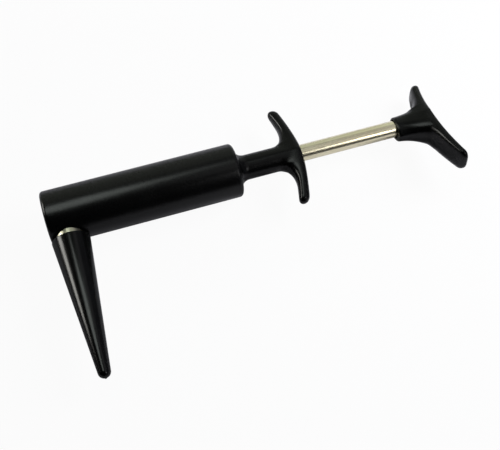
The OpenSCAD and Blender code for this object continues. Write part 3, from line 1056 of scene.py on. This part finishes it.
@dataclass
class PalmHandle:
    """Moulded palm handle: an egg-shaped hub on the rod, a long arm and a short one."""

    bar: MouldedBar
    mouth_x: float = 252.9
    mouth_radius: float = 8.1
    mouth_edge: float = 1.0
    hub_length: float = 22.3
    hub_radius: float = 11.75
    hub_swell: float = 2.8
    hub_growth: float = 1.3
    hub_square: float = 1.6
    mouth_bore: float = 6.9
    mouth_depth: float = 2.5
    rod_bore: float = 6.04
    rod_end: float = 269.9
    stud_bore: float = 3.04
    stud_end: float = 276.2
    sides: int = 120
    mouth_steps: int = 8
    hub_steps: int = 28
    bore_sides: int = 128
    moulding: Moulding = Moulding((-14, -8, 3), 13, 24)
    palm: BarSizes = BarSizes(
        face_x=281.2, low_reach=46.5, high_reach=32.3, low_sweep=8.6, high_sweep=4.6, curve=1.8,
        low_thickness=5.9, high_thickness=7.0, low_taper=4.0, high_taper=2.3, low_flare=11.9, high_flare=10.2,
        root=7.8, low_run=17.0, high_run=10.9, tip_extra=1.5, middle_half_width=12.25, low_half_width=8.7,
        high_half_width=7.3, tip_width_share=0.3, corner_power=2.9, root_power=1.7, roll=math.radians(-13.6),
    )

    def hub(self) -> Mesh:
        """Lofts the hub from its rounded mouth into the bar.

        Returns:
            Its closed shell.
        """
        mouth = lip(self.mouth_x, self.mouth_radius, self.mouth_edge, self.mouth_steps)
        rings = [(x, radius, self.hub_swell, 1.0) for x, radius in mouth]
        for k in range(1, self.hub_steps + 1):
            t = k / self.hub_steps
            rings.append((
                self.mouth_x + self.mouth_edge + (self.hub_length - self.mouth_edge) * t,
                self.mouth_radius + (self.hub_radius - self.mouth_radius) * t * t,
                self.hub_swell * (1 + self.hub_growth * t * t),
                2 / (2 + self.hub_square * t),
            ))
        bm = bmesh.new()
        loops = []
        for x, radius, swell, bend in rings:
            loop = []
            for i in range(self.sides):
                out, up = math.cos(math.tau * i / self.sides), math.sin(math.tau * i / self.sides)
                if out > 0:
                    out = (1 + swell / radius) * out ** bend
                    up = math.copysign(abs(up) ** bend, up)
                loop.append(bm.verts.new(Vector((x, -radius * out, radius * up)) * MM))
            loops.append(loop)
        for low, high in zip(loops, loops[1:]):
            for i in range(self.sides):
                k = (i + 1) % self.sides
                bm.faces.new((low[i], low[k], high[k], high[i]))
        bm.faces.new(loops[0])
        bm.faces.new(loops[-1])
        bm.transform(Matrix.Rotation(self.palm.roll, 4, "X"))
        return closed(bm, "hub")

    def bores(self) -> Mesh:
        """Turns the tool that opens the mouth, the rod's socket and the stud's hole.

        Returns:
            Its closed shell.
        """
        start = self.mouth_x - CUT_SPARE
        return Lathe(Axis.PUMP, self.bore_sides).turned("handle_bores", [
            (start, 0), (start, self.mouth_bore), (self.mouth_x + self.mouth_depth, self.mouth_bore),
            (self.mouth_x + self.mouth_depth, self.rod_bore), (self.rod_end, self.rod_bore),
            (self.rod_end, self.stud_bore), (self.stud_end, self.stud_bore), (self.stud_end, 0),
        ])

    def build(self) -> None:
        """Moulds the handle."""
        arms = self.bar.shell("palm_bar", self.palm, MOULDED_BLACK)
        skin = self.moulding.moulded("palm_handle", self.palm.face_x, arms, self.hub())
        add_piece("palm_moulding", cut(skin, self.bores()), MOULDED_BLACK, Body.PLUNGER, ("palm_handle",))


class CoilSpring(ShapeTree):
    """Tree of a wire coiled along the pump's axis."""

    SIZES = ("start", "length", "radius", "wire_radius", "curls")
    CURL_STEPS = 48
    WIRE_SIDES = 12

    def __init__(self) -> None:
        """Builds the tree with one named input for each size of a spring."""
        super().__init__("coil spring", dict.fromkeys(self.SIZES, "NodeSocketFloat"))
        tree, size = self.tree, self.socket
        spiral = add_node(tree, "GeometryNodeCurveSpiral", {
            "Resolution": self.CURL_STEPS, "Rotations": size("curls"), "Height": size("length"),
            "Start Radius": size("radius"), "End Radius": size("radius"),
        })
        circle = {"Resolution": self.WIRE_SIDES, "Radius": size("wire_radius")}
        profile = add_node(tree, "GeometryNodeCurvePrimitiveCircle", circle).outputs[0]
        wire = add_node(tree, "GeometryNodeCurveToMesh", {"Profile Curve": profile, "Fill Caps": True})
        shift = add_node(tree, "ShaderNodeCombineXYZ", {0: size("start")}).outputs[0]
        laid = {"Translation": shift, "Rotation": (0, math.pi / 2, 0)}
        lay = add_node(tree, "GeometryNodeTransform", laid)
        self.close(spiral, wire, lay)


@dataclass
class CheckValve:
    """Seat, ball and spring of the check valve. The end of the spring that stays is at back."""

    spring_start: float = 8.3
    spring_end: float = 13.6
    spring_radius: float = 1.6
    wire_radius: float = 0.25
    curls: float = 5.0
    lift: float = 0.8
    back: float = 8.0

    def build(self) -> None:
        """Coils the spring and dresses the seat and the ball."""
        sizes = {
            "start": self.spring_start * MM,
            "length": (self.spring_end - self.spring_start) * MM,
            "radius": self.spring_radius * MM,
            "wire_radius": self.wire_radius * MM,
            "curls": self.curls,
        }
        coil = CoilSpring().drawn("coil_spring", sizes, BRIGHT_STEEL)
        spring = add_piece("coil_spring", coil, BRIGHT_STEEL, Body.PUMP, ("valve_spring",))
        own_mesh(spring)
        dress(TURNED_BRASS, "valve_seat")
        dress(BRIGHT_STEEL, "valve_ball")


@dataclass(frozen=True)
class SoftBox:
    """A soft studio light that looks at the opener.

    Attributes:
        name: name of the lamp.
        place: place of its middle in metres.
        width: width in metres, level with the floor.
        height: height in metres.
        watts: power.
        colour: colour of its light.
        shine: what the lamp does.
    """

    name: str
    place: Place
    width: float
    height: float
    watts: float
    colour: Colour = (1.0, 1.0, 1.0)
    shine: Shine = Shine.GLOSS

    def hang(self, target: Vector) -> None:
        """Hangs the lamp.

        Args:
            target: point that it looks at.
        """
        data = bpy.data.lights.new(self.name, "AREA")
        data.shape = "RECTANGLE"
        data.size, data.size_y = self.width, self.height
        data.energy = self.watts
        data.color = self.colour
        lamp = placed(data)
        lamp.location = self.place
        lamp.rotation_euler = (target - Vector(self.place)).to_track_quat("-Z", "Y").to_euler()
        lamp.visible_glossy = self.shine is Shine.GLOSS
        lamp.visible_diffuse = self.shine is Shine.FILL


class Side(Enum):
    """Sides of the room, as the number of the axis that points there."""

    RIGHT = 0
    BACK = 1


@dataclass(frozen=True)
class Wall:
    """A dim wall of the room, which fades in with the slant of the view.

    Attributes:
        side: side that the wall stands on.
        start: slant towards that side at which the wall begins.
        full: slant at which it is full.
        colour: light that it sends back.
    """

    side: Side
    start: float
    full: float
    colour: Colour

    def shown(self, tree: Tree, parts: bpy.types.Node) -> Socket:
        """Adds the wall to the room's nodes.

        Args:
            tree: node tree of the room.
            parts: node that gives the view's X, Y and Z.

        Returns:
            The wall's light.
        """
        slant, reach = parts.outputs[self.side.value], (self.start, self.full)
        fade = ranged(tree, slant, reach, (0.0, 1.0), interpolation_type="SMOOTHSTEP")
        light = add_node(tree, "ShaderNodeVectorMath", {0: self.colour, "Scale": fade}, operation="SCALE")
        return light.outputs[0]


@dataclass
class Studio:
    """Floor, light and camera.

    Attributes:
        floor_half, floor_gap: half of the floor's side, and its gap under the opener, in metres.
        paper_white, paper_gloss: share of plain white in the paper for the camera and in gloss.
        eye, aim, eye_up: the camera's place, the point that it looks at and its upward direction.
        lens, sensor: focal length and width of the picture in millimetres.
        clip: nearest and farthest distance that the camera sees, in metres.
    """

    floor_half: float = 8.0
    floor_gap: float = 0.0001
    paper: Colour = (0.62, 0.62, 0.66)
    paper_white: float = 0.95
    paper_gloss: float = 0.02
    walls: tuple[Wall, Wall] = (
        Wall(Side.BACK, 0.42, 0.70, (0.40, 0.43, 0.37)),
        Wall(Side.RIGHT, 0.10, 0.50, (0.12, 0.12, 0.14)),
    )
    eye: Place = (37.965, -273.201, 525.592)
    aim: Place = (130.324, -43.669, 1.011)
    eye_up: Place = (0.25879, 0.86737, 0.42508)
    lens: float = 61.768
    sensor: float = 36.0
    clip: Span = (0.01, 50.0)
    boxes: tuple[SoftBox, ...] = (
        SoftBox("left_box", (-0.85, 0.425, 0.40), 0.54, 0.36, 7.0, (1.0, 0.99, 0.93)),
        SoftBox("top_box", (-0.06, 0.13, 0.90), 0.42, 0.34, 1.85, (0.92, 1.0, 0.95)),
        SoftBox("top_side", (0.27, 0.20, 0.90), 0.18, 0.18, 0.13, (0.92, 1.0, 0.95)),
        SoftBox("front_box", (0.73, -0.86, 0.88), 0.22, 0.58, 1.7),
        SoftBox("high_box", (0.50, -0.16, 0.95), 0.50, 0.50, 0.35),
        SoftBox("high_back", (0.60, 0.35, 0.97), 0.45, 0.35, 0.17),
        SoftBox("right_wall", (0.80, 0.95, 0.60), 0.50, 1.00, 0.17),
        SoftBox("back_fill", (0.10, 0.55, 0.30), 0.40, 0.20, 1.5, shine=Shine.FILL),
        SoftBox("right_fill", (0.60, 0.00, 0.35), 0.30, 0.30, 3.85, shine=Shine.FILL),
    )

    def floor(self) -> None:
        """Lays a plain white floor that keeps a soft shadow."""
        height = CAD_BOX[0][2] - self.floor_gap
        half = self.floor_half
        corners = [(-half, -half, height), (half, -half, height), (half, half, height), (-half, half, height)]
        mesh = bpy.data.meshes.new("floor")
        mesh.from_pydata(corners, [], [(0, 1, 2, 3)])
        material = bpy.data.materials.new("floor_paper")
        material.use_nodes = True
        tree = material.node_tree
        tree.nodes.clear()
        paper = add_node(tree, "ShaderNodeBsdfDiffuse", {"Color": (*self.paper, 1)}).outputs[0]
        white = add_node(tree, "ShaderNodeEmission", {}).outputs[0]
        path = add_node(tree, "ShaderNodeLightPath", {}).outputs
        mirrored = Formula(tree, path["Is Glossy Ray"]) + Formula(tree, path["Is Transmission Ray"])
        share = Formula(tree, path["Is Camera Ray"]) * self.paper_white + mirrored * self.paper_gloss
        mix = add_node(tree, "ShaderNodeMixShader", {0: share.within_one().socket, 1: paper, 2: white})
        add_node(tree, "ShaderNodeOutputMaterial", {"Surface": mix.outputs[0]})
        mesh.materials.append(material)
        placed(mesh)

    def light(self) -> None:
        """Hangs the soft boxes in a plain dim room that the camera sees as white."""
        world = bpy.data.worlds.new("studio")
        world.use_nodes = True
        tree = world.node_tree
        view = add_node(tree, "ShaderNodeTexCoord", {}).outputs["Generated"]
        parts = add_node(tree, "ShaderNodeSeparateXYZ", {0: view})
        shown = [wall.shown(tree, parts) for wall in self.walls]
        both = add_node(tree, "ShaderNodeVectorMath", dict(enumerate(shown))).outputs[0]
        camera = add_node(tree, "ShaderNodeLightPath", {}).outputs["Is Camera Ray"]
        whole = add_node(tree, "ShaderNodeVectorMath", {0: both, 1: camera})
        tree.links.new(whole.outputs[0], tree.nodes["Background"].inputs["Color"])
        bpy.context.scene.world = world
        for box in self.boxes:
            box.hang(Vector(self.aim) * MM)

    def camera(self) -> None:
        """Stands the camera where the photograph was taken from."""
        data = bpy.data.cameras.new("camera")
        data.sensor_fit = "HORIZONTAL"
        data.sensor_width = self.sensor
        data.lens = self.lens
        data.clip_start, data.clip_end = self.clip
        camera = placed(data)
        ahead = (Vector(self.aim) - Vector(self.eye)).normalized()
        right = ahead.cross(Vector(self.eye_up)).normalized()
        turn = Matrix((right, right.cross(ahead), -ahead)).transposed()
        camera.matrix_world = Matrix.Translation(Vector(self.eye) * MM) @ turn.to_4x4()
        bpy.context.scene.camera = camera

    def build(self) -> None:
        """Sets the stage."""
        self.floor()
        self.light()
        self.camera()
        bpy.context.scene.view_settings.view_transform = "Standard"


def main() -> None:
    """Builds the opener piece by piece and sets the stage."""
    logging.basicConfig(level=logging.INFO, format="%(message)s")
    bar = MouldedBar()
    for assembly in (
        Casing(), NeedleMount(), NeedleCover(), GripCap(bar), Plunger(), PalmHandle(bar), CheckValve(),
        Studio(),
    ):
        log.info("building %s", type(assembly).__name__)
        assembly.build()


if __name__ == "__main__":
    main()
